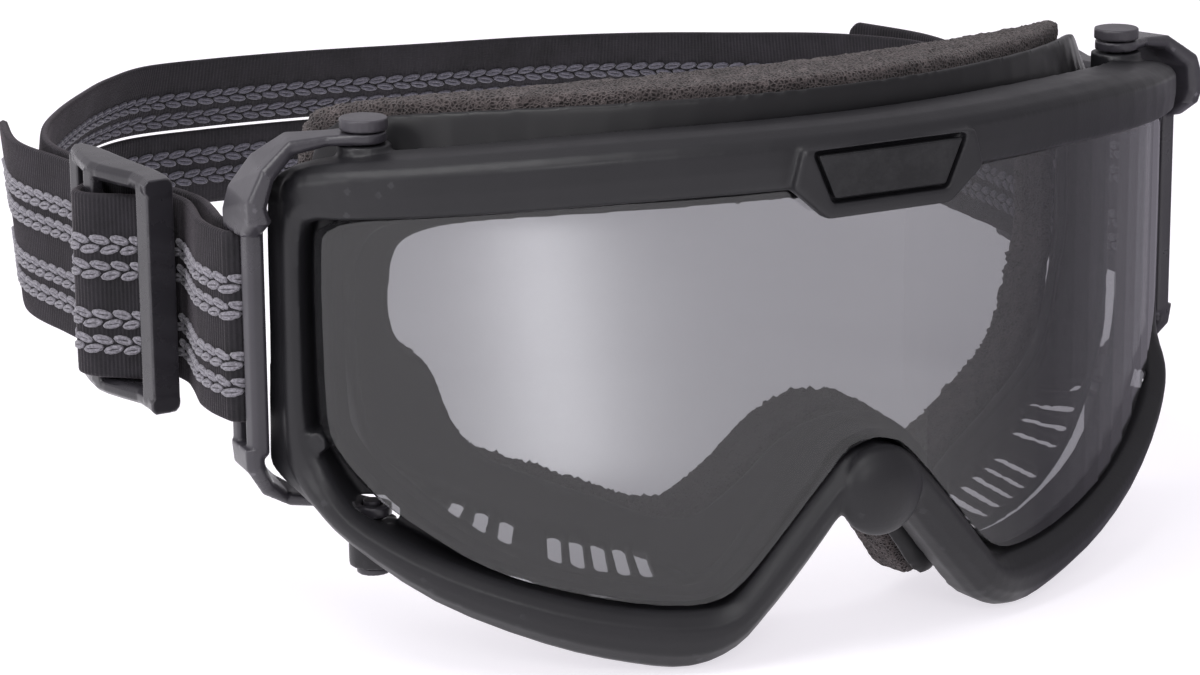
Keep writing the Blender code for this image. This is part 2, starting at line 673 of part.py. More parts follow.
def build_pins(name, side, parts, cutters):
    x, y = side * PIVOT[0], PIVOT[1]
    head = [("UNION", upright_cylinder(x, y, 9.6, 11.6, 4.1))]
    mesh = combined(upright_cylinder(x, y, 3, 10.4, PIN_R, 16), head, cutters)
    mesh = beveled(mesh, 0.5)
    smooth(mesh)
    add_object(f"upper_pivot_pin_{name}", mesh, parts, (0.04, 0.038, 0.042), 0.4)
    head = [("UNION", upright_cylinder(x, y, -67.4, -66.3, 2.9))]
    mesh = combined(upright_cylinder(x, y, -67, -54.6, PIN_R, 16), head, cutters)
    smooth(mesh)
    add_object(f"lower_pivot_pin_{name}", mesh, parts, (0.04, 0.038, 0.042), 0.4)


def build_slider(name, side, parts, cutters):
    turn = math.atan2(STRAP_DIR.y, side * STRAP_DIR.x) - math.pi / 2
    outward = (side * STRAP_OUT.x, STRAP_OUT.y, 0)

    def spot(along, out, height=0.0):
        return strap_point(side, SLIDER_AT + along, out, SLIDER_Z + height)

    def rail(height):
        sections = []
        for along, outer, inner in RAIL_ROWS:
            center = spot(along, (outer + inner) / 2, height)
            sections.append(outrigger_section(center, outward, (0, 0, 1), outer - inner, RAIL_HEIGHT))
        return bar_loft(sections)

    steps = [("UNION", rail(-SLIDER_RAIL))]
    for along, out, half_length, half_depth in SLIDER_BARS:
        steps.append(("UNION", box(spot(along, out), (half_depth, half_length, SLIDER_RAIL), turn)))
    mesh = combined(rail(SLIDER_RAIL), steps, cutters)
    smooth(mesh, 30)
    add_object(f"slider_{name}", mesh, parts, (0.05, 0.047, 0.052), 0.3)


def ribbon(name, path, parts):
    """A strap piece: an upright sheet along a plan path of (x, y), given thickness."""
    levels = (-STRAP_HALF, STRAP_HALF)
    points = [(x, y, STRAP_Z + h) for x, y in path for h in levels]
    add_sheet(name, points, len(path), len(levels), lambda at, level: True, parts)


def add_sheet(name, points, count, levels, keep, parts):
    """A strap from a grid of points. keep(row, level) says which of its faces are there."""
    faces = [
        (levels * i + k, levels * i + k + 1, levels * (i + 1) + k + 1, levels * (i + 1) + k)
        for i in range(count - 1)
        for k in range(levels - 1)
        if keep(i, k)
    ]
    mesh = bpy.data.meshes.new(name)
    mesh.from_pydata([place(point) for point in points], [], faces)
    mesh = solidified(mesh, STRAP_THICK)
    smooth(mesh)
    add_object(name, mesh, parts, (0.022, 0.021, 0.024), 0.85)


def arc_path(center, radius, start, stop, count):
    return [
        (
            center[0] + radius * math.cos(math.radians(start + (stop - start) * i / count)),
            center[1] + radius * math.sin(math.radians(start + (stop - start) * i / count)),
        )
        for i in range(count + 1)
    ]


def band_points():
    """The main strap's grid: four heights at each row, cupped towards the head at the top and bottom."""
    runs = {side: [(*strap_point(side, at, out, 0)[:2], 0) for at, out in INNER_RUN] for side in (-1, 1)}
    rows = smoothed(runs[-1] + BAND + runs[1][::-1], 2)
    points = []
    for index, (x, y, cup) in enumerate(rows):
        before, after = rows[max(index - 1, 0)], rows[min(index + 1, len(rows) - 1)]
        along = Vector((after[0] - before[0], after[1] - before[1])).normalized()
        inward = Vector((along.y, -along.x))
        top = STRAP_HALF - CUP_DROP * cup
        shape = ((-STRAP_HALF, CUP_BOTTOM), (-SLIT_HALF, 0), (SLIT_HALF, 0), (top, CUP_TOP))
        for height, cupped in shape:
            points.append((x + inward.x * cupped * cup, y + inward.y * cupped * cup, STRAP_Z + height))
    return points


def build_strap(parts):
    points = band_points()
    open_from, open_to = (2 * (row + len(INNER_RUN)) for row in SLIT_SPAN)
    add_sheet("strap_main", points, len(points) // 4, 4,
              lambda at, level: level != 1 or not open_from <= at < open_to, parts)
    for name, side in (("right", -1), ("left", 1)):
        tail = [strap_point(side, at, out, 0)[:2] for at, out in OUTER_RUN]
        ribbon(f"strap_tail_{name}", tail, parts)
        fold = [strap_point(side, SLIDER_AT + at, out, 0)[:2] for at, out in FOLD]
        ribbon(f"strap_fold_{name}", fold, parts)
        loop = [strap_point(side, at, -LOOP_OUT, 0)[:2] for at in (4.4, 1.4)]
        bend = arc_path((0, 0), LOOP_OUT, -90, -270, 8)
        loop += [strap_point(side, -0.4 + x, y, 0)[:2] for x, y in bend]
        loop += [strap_point(side, at, LOOP_OUT, 0)[:2] for at in (1.4, 4.4)]
        ribbon(f"strap_loop_{name}", loop, parts)


def main():
    for obj in list(bpy.data.objects):
        bpy.data.objects.remove(obj)
    parts = bpy.data.collections.new("riding_goggles")
    cutters = bpy.data.collections.new("cutters")
    cutters.hide_render = True
    bpy.context.scene.collection.children.link(parts)
    bpy.context.scene.collection.children.link(cutters)
    build_frame(parts, cutters)
    build_lens(parts, cutters)
    build_skirt(parts, cutters)
    build_foam(parts)
    for name, side in (("right", -1), ("left", 1)):
        build_outrigger(name, side, parts, cutters)
        build_pins(name, side, parts, cutters)
        build_slider(name, side, parts, cutters)
    build_strap(parts)


main()
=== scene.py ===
"""Looks of the riding goggles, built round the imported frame: moulded parts with rounded edges, open-cell
foam, a smoked lens and a ribbed elastic strap with chain-stitched stripes.

Lengths are millimetres from the middle of the brow's lower front edge until place() turns them into the
frame's metres. -X is the wearer's right, +Y is back and +Z is up.
"""

import math

import bmesh
import bpy
import numpy as np
from mathutils import Matrix, Vector, noise


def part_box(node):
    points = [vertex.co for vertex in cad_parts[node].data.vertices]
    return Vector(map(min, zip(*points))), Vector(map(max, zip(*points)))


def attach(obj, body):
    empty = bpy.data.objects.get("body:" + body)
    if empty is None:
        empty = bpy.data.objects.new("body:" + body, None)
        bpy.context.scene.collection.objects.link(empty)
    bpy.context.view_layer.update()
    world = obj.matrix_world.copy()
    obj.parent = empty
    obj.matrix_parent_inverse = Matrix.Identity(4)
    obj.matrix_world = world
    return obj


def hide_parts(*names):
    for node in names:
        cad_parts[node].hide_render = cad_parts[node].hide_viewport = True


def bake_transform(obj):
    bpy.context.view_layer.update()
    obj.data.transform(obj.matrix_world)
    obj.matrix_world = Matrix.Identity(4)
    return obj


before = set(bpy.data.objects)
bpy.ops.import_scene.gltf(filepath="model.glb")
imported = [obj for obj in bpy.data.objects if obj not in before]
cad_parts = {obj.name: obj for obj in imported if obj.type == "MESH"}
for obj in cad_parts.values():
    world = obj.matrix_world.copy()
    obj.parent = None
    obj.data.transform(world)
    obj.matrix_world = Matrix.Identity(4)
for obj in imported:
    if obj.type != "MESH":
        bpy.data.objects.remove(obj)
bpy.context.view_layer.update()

MM = 0.001
BADGE_LOW, BADGE_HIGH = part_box("badge_plate")
BACK_SHIFT = BADGE_LOW.y / MM + 1.3  # the badge plate's face is 1.3 mm in front of the brow's edge
LIFT = BADGE_HIGH.z / MM - 5.7  # and its top 5.7 mm above it

# Strap, as the frame's solids hold it.
BAR_FRONT = (94.0, 49.0)
BAR_PITCH = 5.8
STRAP_DIR = Vector((0.085, 0.996)).normalized()
STRAP_OUT = Vector((STRAP_DIR.y, -STRAP_DIR.x))
STRAP_Z = -24.4
STRAP_HALF = 16.6
STRAP_THICK = 1.5
LOOP_OUT = 2.3
SEAM_AT = 29  # where the front part of the strap meets the rest, under the slider's front bar
INNER_RUN = [  # both layers sag inwards between the outrigger and the slider
    (9.5, -2.3), (14, -3.7), (18, -5), (22, -6.1), (26, -6.6), (31, -6.4), (38, -5.4), (46, -4.5), (64, -4.2),
]
OUTER_RUN = [
    (9.5, 1.5), (12.5, 0.5), (16, -0.9), (20, -2.4), (24, -3.6), (29, -3.9), (35, -3.1), (42, -1.9),
    (52, -1.4), (68, -1.4), (74, -1.2), (80, -1.3), (86, -2.2), (92, -4.2), (99, -7.2), (104, -9.4),
]
SLIDER_AT = 37.4  # the slider's middle bar, along the strap from the outrigger's rear bar
FOLD = [
    (-11.6, 0.9), (-7.5, 1.2), (-5, 2.6), (-2.5, 5), (-0.4, 7.2), (1.4, 8.2), (3.4, 8.6), (5.3, 7.9),
    (7.6, 5.4), (10, 2.6), (12.6, 1),
]
BAND = [
    (-96.1, 122, 0), (-96.4, 137, 0.15), (-92, 152.5, 0.35), (-84.5, 168, 0.6), (-75.5, 182, 0.8),
    (-66, 193.5, 0.9), (-53, 202.5, 0.9), (-36, 203.5, 0.9), (-14, 201.5, 0.95), (10, 196.5, 1), (35, 191, 1),
    (57, 182.6, 1), (75, 171, 0.95), (88.2, 156, 0.55), (96, 138, 0.2), (96.1, 122, 0),
]
CUP_TOP, CUP_BOTTOM, CUP_DROP = 7.0, -3.4, 1.0
SLIT_Y = 176.0  # the slit is open where the band is behind this
SLIT_HALF = 0.28

RIB_PITCH = 0.75
RIB_DEPTH = 0.09
ROWS_PER_RIB = 4
STRIPES = [7.6, 3.0, -5.8, -10.4]  # heights of the chain stripes from the strap's middle
STITCH_PITCH = 3.6
STITCH_ROW = 0.86  # each stripe is two rows of stitches, this far from its middle
STITCH_HALF = (1.4, 0.44)  # half a stitch's length and width, to the middle of its yarn
STITCH_R = 0.44
STITCH_TILT = 0.16  # a stitch leans this much for each unit of its length

STUDIO_TINT = (1.0, 0.965, 1.03, 1)
GLOW_HEIGHT = 0.02  # strip light above the floor behind the lens, in metres, and its power in watts
GLOW_POWER = 0.07


def place(x, y, z):
    return Vector((x, y + BACK_SHIFT, z + LIFT)) * MM


# Materials


def new_material(name):
    made = bpy.data.materials.new(name)
    made.use_nodes = True
    return made, made.node_tree.nodes, made.node_tree.links, made.node_tree.nodes["Principled BSDF"]


def noise_node(nodes, links, scale, detail=4.0, roughness=0.6, stretch=None):
    texture = nodes.new("ShaderNodeTexNoise")
    texture.inputs["Scale"].default_value = scale
    texture.inputs["Detail"].default_value = detail
    texture.inputs["Roughness"].default_value = roughness
    spot = nodes.new("ShaderNodeTexCoord")
    if stretch:
        mapping = nodes.new("ShaderNodeMapping")
        mapping.inputs["Scale"].default_value = stretch
        links.new(spot.outputs["Object"], mapping.inputs["Vector"])
        links.new(mapping.outputs["Vector"], texture.inputs["Vector"])
    else:
        links.new(spot.outputs["Object"], texture.inputs["Vector"])
    return texture


def ramp(nodes, links, source, low, high, dark, light):
    """A color ramp over a value: dark below low, light above high."""
    node = nodes.new("ShaderNodeValToRGB")
    node.color_ramp.elements[0].position = low
    node.color_ramp.elements[0].color = (*dark, 1)
    node.color_ramp.elements[1].position = high
    node.color_ramp.elements[1].color = (*light, 1)
    links.new(source, node.inputs["Fac"])
    return node


def bump(nodes, links, height, distance, strength, before=None):
    node = nodes.new("ShaderNodeBump")
    node.inputs["Distance"].default_value = distance * MM
    node.inputs["Strength"].default_value = strength
    links.new(height, node.inputs["Height"])
    if before:
        links.new(before.outputs["Normal"], node.inputs["Normal"])
    return node


def mixed(nodes, links, fac, first, second, kind="MIX"):
    node = nodes.new("ShaderNodeMix")
    node.data_type = "RGBA"
    node.blend_type = kind
    if isinstance(fac, float):
        node.inputs["Factor"].default_value = fac
    else:
        links.new(fac, node.inputs["Factor"])
    links.new(first, node.inputs["A"])
    links.new(second, node.inputs["B"])
    return node.outputs["Result"]


def moulded(name, color, worn, rough, grain=1900.0, depth=0.02, wear=0.5, specular=0.35):
    """Moulded plastic or rubber: fine grain, cloudy gloss, and edges rubbed a little lighter."""
    made, nodes, links, shader = new_material(name)
    clouds = noise_node(nodes, links, 45, 5)
    base = ramp(nodes, links, clouds.outputs["Fac"], 0.35, 0.7, color, tuple(c * 1.22 for c in color))
    edge = nodes.new("ShaderNodeNewGeometry")
    rubbed = ramp(nodes, links, edge.outputs["Pointiness"], 0.52, 0.58, (0, 0, 0), (wear, wear, wear))
    scuffs = noise_node(nodes, links, 220, 6, 0.7)
    where = ramp(nodes, links, scuffs.outputs["Fac"], 0.42, 0.62, (0.25, 0.25, 0.25), (1, 1, 1))
    share = nodes.new("ShaderNodeMath")
    share.operation = "MULTIPLY"
    links.new(rubbed.outputs["Color"], share.inputs[0])
    links.new(where.outputs["Color"], share.inputs[1])
    light = nodes.new("ShaderNodeRGB")
    light.outputs[0].default_value = (*worn, 1)
    links.new(mixed(nodes, links, share.outputs[0], base.outputs["Color"], light.outputs[0]),
              shader.inputs["Base Color"])
    gloss = noise_node(nodes, links, 110, 6)
    low, high = (max(rough + shift, 0.05) for shift in (-0.06, 0.07))
    spread = ramp(nodes, links, gloss.outputs["Fac"], 0.3, 0.7, (low, low, low), (high, high, high))
    links.new(spread.outputs["Color"], shader.inputs["Roughness"])
    shader.inputs["Specular IOR Level"].default_value = specular
    fine = noise_node(nodes, links, grain, 3, 0.5)
    links.new(bump(nodes, links, fine.outputs["Fac"], depth, 1).outputs["Normal"], shader.inputs["Normal"])
    return made


def elastic(name, color, lilac):
    """The strap's cloth: fine threads along it, fuzz and a faint sheen."""
    made, nodes, links, shader = new_material(name)
    clouds = noise_node(nodes, links, 120, 6, 0.7)
    base = ramp(nodes, links, clouds.outputs["Fac"], 0.3, 0.72, color, lilac)
    links.new(base.outputs["Color"], shader.inputs["Base Color"])
    shader.inputs["Roughness"].default_value = 0.82
    shader.inputs["Sheen Weight"].default_value = 0.2
    shader.inputs["Sheen Roughness"].default_value = 0.45
    shader.inputs["Sheen Tint"].default_value = (0.75, 0.66, 0.72, 1)
    shader.inputs["Specular IOR Level"].default_value = 0.3
    threads = noise_node(nodes, links, 900, 3, 0.6, (1, 1, 3.4))
    fuzz = noise_node(nodes, links, 3600, 3, 0.6)
    first = bump(nodes, links, threads.outputs["Fac"], 0.14, 1)
    second = bump(nodes, links, fuzz.outputs["Fac"], 0.05, 1, first)
    links.new(second.outputs["Normal"], shader.inputs["Normal"])
    return made


def yarn(name, color, shade):
    """Twisted grey thread of the chain stitches."""
    made, nodes, links, shader = new_material(name)
    twist = noise_node(nodes, links, 2300, 4, 0.6)
    base = ramp(nodes, links, twist.outputs["Fac"], 0.32, 0.62, shade, color)
    links.new(base.outputs["Color"], shader.inputs["Base Color"])
    shader.inputs["Roughness"].default_value = 0.62
    shader.inputs["Sheen Weight"].default_value = 0.25
    shader.inputs["Specular IOR Level"].default_value = 0.35
    links.new(bump(nodes, links, twist.outputs["Fac"], 0.12, 1).outputs["Normal"], shader.inputs["Normal"])
    return made


def open_foam(name):
    """Open-cell foam: pores as pits between lighter struts, with painted shade darkening the pits."""
    made, nodes, links, shader = new_material(name)
    cells = nodes.new("ShaderNodeTexVoronoi")
    cells.feature = "DISTANCE_TO_EDGE"
    cells.inputs["Scale"].default_value = 1500
    spot = nodes.new("ShaderNodeTexCoord")
    links.new(spot.outputs["Object"], cells.inputs["Vector"])
    # Painted shade: the colour goes darker towards each cell's middle, where the bump below sinks the pits.
    pits = ramp(nodes, links, cells.outputs["Distance"], 0.03, 0.3,
                (0.12, 0.106, 0.106), (0.026, 0.022, 0.0225))
    clouds = noise_node(nodes, links, 260, 5)
    tone = ramp(nodes, links, clouds.outputs["Fac"], 0.3, 0.75, (0.6, 0.58, 0.57), (1.25, 1.2, 1.18))
    links.new(mixed(nodes, links, 1.0, pits.outputs["Color"], tone.outputs["Color"], "MULTIPLY"),
              shader.inputs["Base Color"])
    shader.inputs["Roughness"].default_value = 0.95
    shader.inputs["Specular IOR Level"].default_value = 0.15
    shader.inputs["Sheen Weight"].default_value = 0.12
    invert = nodes.new("ShaderNodeMath")
    invert.operation = "MULTIPLY"
    invert.inputs[1].default_value = -1.0
    links.new(cells.outputs["Distance"], invert.inputs[0])
    links.new(bump(nodes, links, invert.outputs[0], 0.8, 1).outputs["Normal"], shader.inputs["Normal"])
    return made


def smoked_lens(name):
    """Polycarbonate: a grey tint with a hard coat that reflects softly, and faint smears in its gloss."""
    made, nodes, links, shader = new_material(name)
    shader.inputs["Base Color"].default_value = (0.215, 0.215, 0.226, 1)
    shader.inputs["Transmission Weight"].default_value = 1.0
    shader.inputs["IOR"].default_value = 1.02
    shader.inputs["Roughness"].default_value = 0.0
    shader.inputs["Coat Weight"].default_value = 1.0
    shader.inputs["Coat IOR"].default_value = 1.55
    smears = noise_node(nodes, links, 35, 3, 0.5)
    spread = ramp(nodes, links, smears.outputs["Fac"], 0.3, 0.75, (0.06, 0.06, 0.06), (0.14, 0.14, 0.14))
    links.new(spread.outputs["Color"], shader.inputs["Coat Roughness"])
    return made


def light_floor(name):
    """A pale floor that glows softly, as a light table does, so that shadows on it stay faint."""
    made, nodes, links, shader = new_material(name)
    paper = noise_node(nodes, links, 40, 3)
    base = ramp(nodes, links, paper.outputs["Fac"], 0.3, 0.7, (0.49, 0.49, 0.49), (0.51, 0.51, 0.51))
    links.new(base.outputs["Color"], shader.inputs["Base Color"])
    shader.inputs["Roughness"].default_value = 0.9
    shader.inputs["Specular IOR Level"].default_value = 0.0
    shader.inputs["Emission Color"].default_value = STUDIO_TINT
    shader.inputs["Emission Strength"].default_value = 0.68
    return made


MATERIALS = {
    "frame": moulded("frame_plastic", (0.011, 0.0108, 0.0125), (0.05, 0.049, 0.054), 0.42),
    "badge": moulded("badge_plastic", (0.006, 0.006, 0.007), (0.03, 0.03, 0.032), 0.38, 1200, 0.05,
                     specular=0.25),
    "gasket": moulded("gasket_rubber", (0.004, 0.004, 0.0045), (0.01, 0.01, 0.01), 0.65, specular=0.15),
    "skirt": moulded("skirt_rubber", (0.007, 0.0068, 0.0078), (0.02, 0.02, 0.021), 0.4, 900, 0.006, 0.3),
    "pin": moulded("pin_plastic", (0.046, 0.043, 0.05), (0.11, 0.106, 0.118), 0.34),
    "hardware": moulded("hardware_plastic", (0.032, 0.03, 0.036), (0.14, 0.134, 0.15), 0.3, 1500, 0.012,
                        0.7, 0.5),
    "slider": moulded("slider_plastic", (0.017, 0.016, 0.019), (0.14, 0.134, 0.15), 0.27, 1500, 0.012,
                      0.8, 0.5),
    "lens": smoked_lens("smoked_polycarbonate"),
    "foam": open_foam("open_cell_foam"),
    "strap": elastic("strap_elastic", (0.0055, 0.0052, 0.0064), (0.019, 0.017, 0.0215)),
    "yarn": yarn("stitch_yarn", (0.25, 0.24, 0.27), (0.075, 0.071, 0.084)),
    "yarn_back": yarn("stitch_yarn_back", (0.115, 0.11, 0.14), (0.035, 0.033, 0.043)),
    "floor": light_floor("floor_light_table"),
}
# Each CAD node's material, the voxel that rounds its edges, in mm, and its smoothing steps. A voxel of 0
# keeps the node as it is.
NODE_LOOKS = {
    "front_frame": ("frame", 0.42, 5),
    "badge_plate": ("badge", 0, 0),
    "lens": ("lens", 0, 0),
    "lens_gasket": ("gasket", 0, 0),
    "face_skirt": ("skirt", 0.5, 16),
    "outrigger_right": ("hardware", 0.3, 5),
    "outrigger_left": ("hardware", 0.3, 5),
    "slider_right": ("slider", 0.25, 6),
    "slider_left": ("slider", 0.25, 6),
    "upper_pivot_pin_right": ("pin", 0.2, 4),
    "upper_pivot_pin_left": ("pin", 0.2, 4),
    "lower_pivot_pin_right": ("pin", 0.2, 4),
    "lower_pivot_pin_left": ("pin", 0.2, 4),
}


def dress(name, look, voxel, steps):
    """Gives a CAD node its material and, through modifiers only, the rounded edges of a moulding."""
    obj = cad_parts[name]
    obj.data.materials.clear()
    obj.data.materials.append(MATERIALS[look])
    if not voxel:
        return
    remesh = obj.modifiers.new("mould", "REMESH")
    remesh.mode = "VOXEL"
    remesh.voxel_size = voxel * MM
    remesh.use_smooth_shade = True
    rounded = obj.modifiers.new("round", "SMOOTH")
    rounded.factor = 0.5
    rounded.iterations = steps


# Strap


def strap_point(side, along, out):
    """A spot in plan, measured along the strap from the outrigger's rear bar and out from it."""
    point = Vector(BAR_FRONT) + STRAP_DIR * (BAR_PITCH + along) + STRAP_OUT * out
    return (side * point.x, point.y)


def smoothed(rows, steps=8):
    """Catmull-Rom rows between the given ones."""
    rows = [np.array(row, float) for row in rows]
    result = []
    for index in range(len(rows) - 1):
        here, after = rows[index], rows[index + 1]
        before = rows[index - 1] if index else 2 * here - after
        beyond = rows[index + 2] if index + 2 < len(rows) else 2 * after - here
        for step in range(steps):
            t = step / steps
            result.append(here + (
                (after - before) * t
                + (2 * before - 5 * here + 4 * after - beyond) * t**2
                + (3 * here - before - 3 * after + beyond) * t**3
            ) / 2)
    result.append(rows[-1])
    return np.array(result)


class Ribbon:
    """A strap along a plan path. point(s, h, w) is s along it, h up from its middle and w out from it."""

    def __init__(self, rows, outward, cant=lambda share: 0.0, cup=None):
        self.path = rows[:, :2]
        steps = np.linalg.norm(np.diff(self.path, axis=0), axis=1)
        self.at = np.concatenate([[0.0], np.cumsum(steps)])
        self.length = self.at[-1]
        tangent = np.gradient(self.path, self.at, axis=0)
        tangent /= np.linalg.norm(tangent, axis=1, keepdims=True)
        self.out = outward * np.stack([-tangent[:, 1], tangent[:, 0]], axis=1)
        self.cup = rows[:, 2] if rows.shape[1] > 2 else np.zeros(len(rows))
        self.cant = cant

    def value(self, table, s):
        return np.interp(s, self.at, table)

    def point(self, s, h, w):
        s, h, w = np.broadcast_arrays(np.asarray(s, float), np.asarray(h, float), np.asarray(w, float))
        x, y = self.value(self.path[:, 0], s), self.value(self.path[:, 1], s)
        nx, ny = self.value(self.out[:, 0], s), self.value(self.out[:, 1], s)
        cup = self.value(self.cup, s)
        part = h / STRAP_HALF
        inward = cup * np.where(part > 0, CUP_TOP, -CUP_BOTTOM) * part * np.minimum(np.abs(part) * 3, 1)
        away = w - inward + self.cant(s / self.length) * part
        height = h - CUP_DROP * cup * np.clip(part, 0, 1)
        return np.stack([
            (x + nx * away) * MM,
            (y + ny * away + BACK_SHIFT) * MM,
            (height + STRAP_Z + LIFT) * MM,
        ], axis=-1)


def half_thickness(s, edge):
    """Half the cloth's thickness: ribs along it, and thin rounded edges. edge is the distance to an edge."""
    ribs = 1 + RIB_DEPTH / STRAP_THICK * 2 * np.cos(2 * np.pi * s / RIB_PITCH)
    rounding = np.sqrt(np.clip(1 - (1 - np.clip(edge / 0.7, 0, 1)) ** 2, 0, 1))
    return STRAP_THICK / 2 * ribs * (0.12 + 0.88 * rounding)


def corner(s, length, radius):
    """How much a rounded corner takes off the height, near the end of a strap."""
    t = np.clip((s - (length - radius)) / radius, 0, 1)
    return radius * (1 - np.sqrt(1 - 0.98 * t**2))


def strap_shell(ribbon, low, high):
    """Closed shell of cloth between two heights, which are functions of s. Returns points and faces."""
    count = int(ribbon.length / RIB_PITCH * ROWS_PER_RIB) + 1
    s = np.linspace(0.0, ribbon.length, count)
    bottom, top = low(s), high(s)
    shares = np.array([0, 0.01, 0.025, 0.06, 0.15, 0.3, 0.45, 0.6, 0.75, 0.85, 0.94, 0.975, 0.99, 1])
    h = bottom[:, None] + (top - bottom)[:, None] * shares
    edge = np.minimum(h - bottom[:, None], top[:, None] - h)
    half = half_thickness(s[:, None], edge)
    front = ribbon.point(s[:, None], h, half)
    back = ribbon.point(s[:, None], h, -half)
    loop = np.concatenate([front, back[:, ::-1]], axis=1)
    size = loop.shape[1]
    rows = np.arange(count - 1)[:, None] * size
    side = np.arange(size)[None, :]
    ahead = (side + 1) % size
    faces = np.stack([rows + side, rows + ahead, rows + size + ahead, rows + size + side], axis=-1)
    faces = [tuple(face) for face in faces.reshape(-1, 4)]
    columns = size // 2
    for start in (0, (count - 1) * size):
        for k in range(columns - 1):
            faces.append((start + k, start + k + 1, start + size - 2 - k, start + size - 1 - k))
    return loop.reshape(-1, 3), faces


def stitches(ribbon, face, ring=10, tube=5):
    """Chain stitches on one face (+1 out, -1 in): flat loops in two staggered rows for each stripe."""
    u = np.linspace(0, 2 * np.pi, ring, endpoint=False)[:, None]
    v = np.linspace(0, 2 * np.pi, tube, endpoint=False)[None, :]
    along = (STITCH_HALF[0] + STITCH_R * np.cos(v)) * np.cos(u)
    across = (STITCH_HALF[1] + STITCH_R * np.cos(v)) * np.sin(u)
    lift = STITCH_R * 0.85 * np.sin(v) + 0.12 * np.cos(u)
    side = np.arange(ring)[:, None] * tube + np.arange(tube)[None, :]
    over = np.arange(ring)[:, None] * tube + (np.arange(tube)[None, :] + 1) % tube
    around = np.roll(side, -1, axis=0)
    around_over = np.roll(over, -1, axis=0)
    link_faces = np.stack([side, around, around_over, over], axis=-1).reshape(-1, 4)
    margin = STITCH_HALF[0] + STITCH_R
    points, faces = [], []
    for stripe in STRIPES:
        for row, shift in ((STITCH_ROW, 0.0), (-STITCH_ROW, 0.5)):
            tilt = math.copysign(STITCH_TILT, row)
            at = np.arange(margin + shift * STITCH_PITCH, ribbon.length - margin + 0.01, STITCH_PITCH)
            for s in at:
                spots_s = s + along + tilt * across
                spots_h = stripe + row + across + tilt * along
                spots_w = face * (STRAP_THICK / 2 + 0.12 + lift)
                faces.append(link_faces + len(points) * ring * tube)
                points.append(ribbon.point(spots_s, spots_h, spots_w).reshape(-1, 3))
    return np.concatenate(points), [tuple(face) for face in np.concatenate(faces)]


def mesh_object(name, parts, material):
    """One object from several closed shells of points and faces."""
    points, faces, base = [], [], 0
    for part_points, part_faces in parts:
        points.append(part_points)
        faces += [tuple(int(i) + base for i in face) for face in part_faces]
        base += len(part_points)
    mesh = bpy.data.meshes.new(name)
    mesh.from_pydata(np.concatenate(points).tolist(), [], faces)
    mesh.validate()
    mesh.materials.append(MATERIALS[material])
    outward(mesh)
    mesh.shade_smooth()
    obj = bpy.data.objects.new(name, mesh)
    bpy.context.scene.collection.objects.link(obj)
    return obj


def outward(mesh):
    """Turns a closed mesh's faces to point out."""
    shape = bmesh.new()
    shape.from_mesh(mesh)
    bmesh.ops.recalc_face_normals(shape, faces=shape.faces)
    shape.to_mesh(mesh)
    shape.free()


def strap_piece(name, shells, chains, body, node, blend=None):
    """A length of strap with its stitching, riding on a body, or, when blend is given, fixed in place with
    its transform baked in.
    """
    cloth = mesh_object(name, shells, "strap")
    threads = [
        mesh_object(f"{name}_{side}", [chain], look)
        for (side, look), chain in zip((("stitching", "yarn"), ("back_stitching", "yarn_back")), chains)
    ]
    for obj in [cloth] + threads:
        if blend:
            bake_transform(obj)
        else:
            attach(obj, body)
    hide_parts(node)
    return cloth


def cut_run(run, start):
    """The part of a run of (along, out) from a distance on."""
    out = np.interp(start, [row[0] for row in run], [row[1] for row in run])
    return [(start, float(out))] + [row for row in run if row[0] > start + 0.5]


def front_run(run, stop):
    """The part of a run of (along, out) up to a distance."""
    out = np.interp(stop, [row[0] for row in run], [row[1] for row in run])
    return [row for row in run if row[0] < stop - 0.5] + [(stop, float(out))]


def level(height):
    """A strap edge that keeps one height."""
    return lambda s: np.full_like(s, height)


def build_strap():
    ends = {side: [(*strap_point(side, at, out), 0) for at, out in cut_run(INNER_RUN, SEAM_AT)]
            for side in (-1, 1)}
    rows = smoothed(ends[-1] + BAND + ends[1][::-1])
    band = Ribbon(rows, 1)
    behind = band.value(band.path[:, 1], band.at) - SLIT_Y

    def gap(s):
        return np.clip(band.value(behind, s) / 6, 0, 1) * (SLIT_HALF + 1) - 1

    shells = [
        strap_shell(band, gap, level(STRAP_HALF)),
        strap_shell(band, level(-STRAP_HALF), lambda s: -gap(s)),
    ]
    chains = [stitches(band, 1), stitches(band, -1)]
    strap_piece("strap_band", shells, chains, "goggles", "strap_main")

    for name, side in (("right", -1), ("left", 1)):
        build_side(name, side)


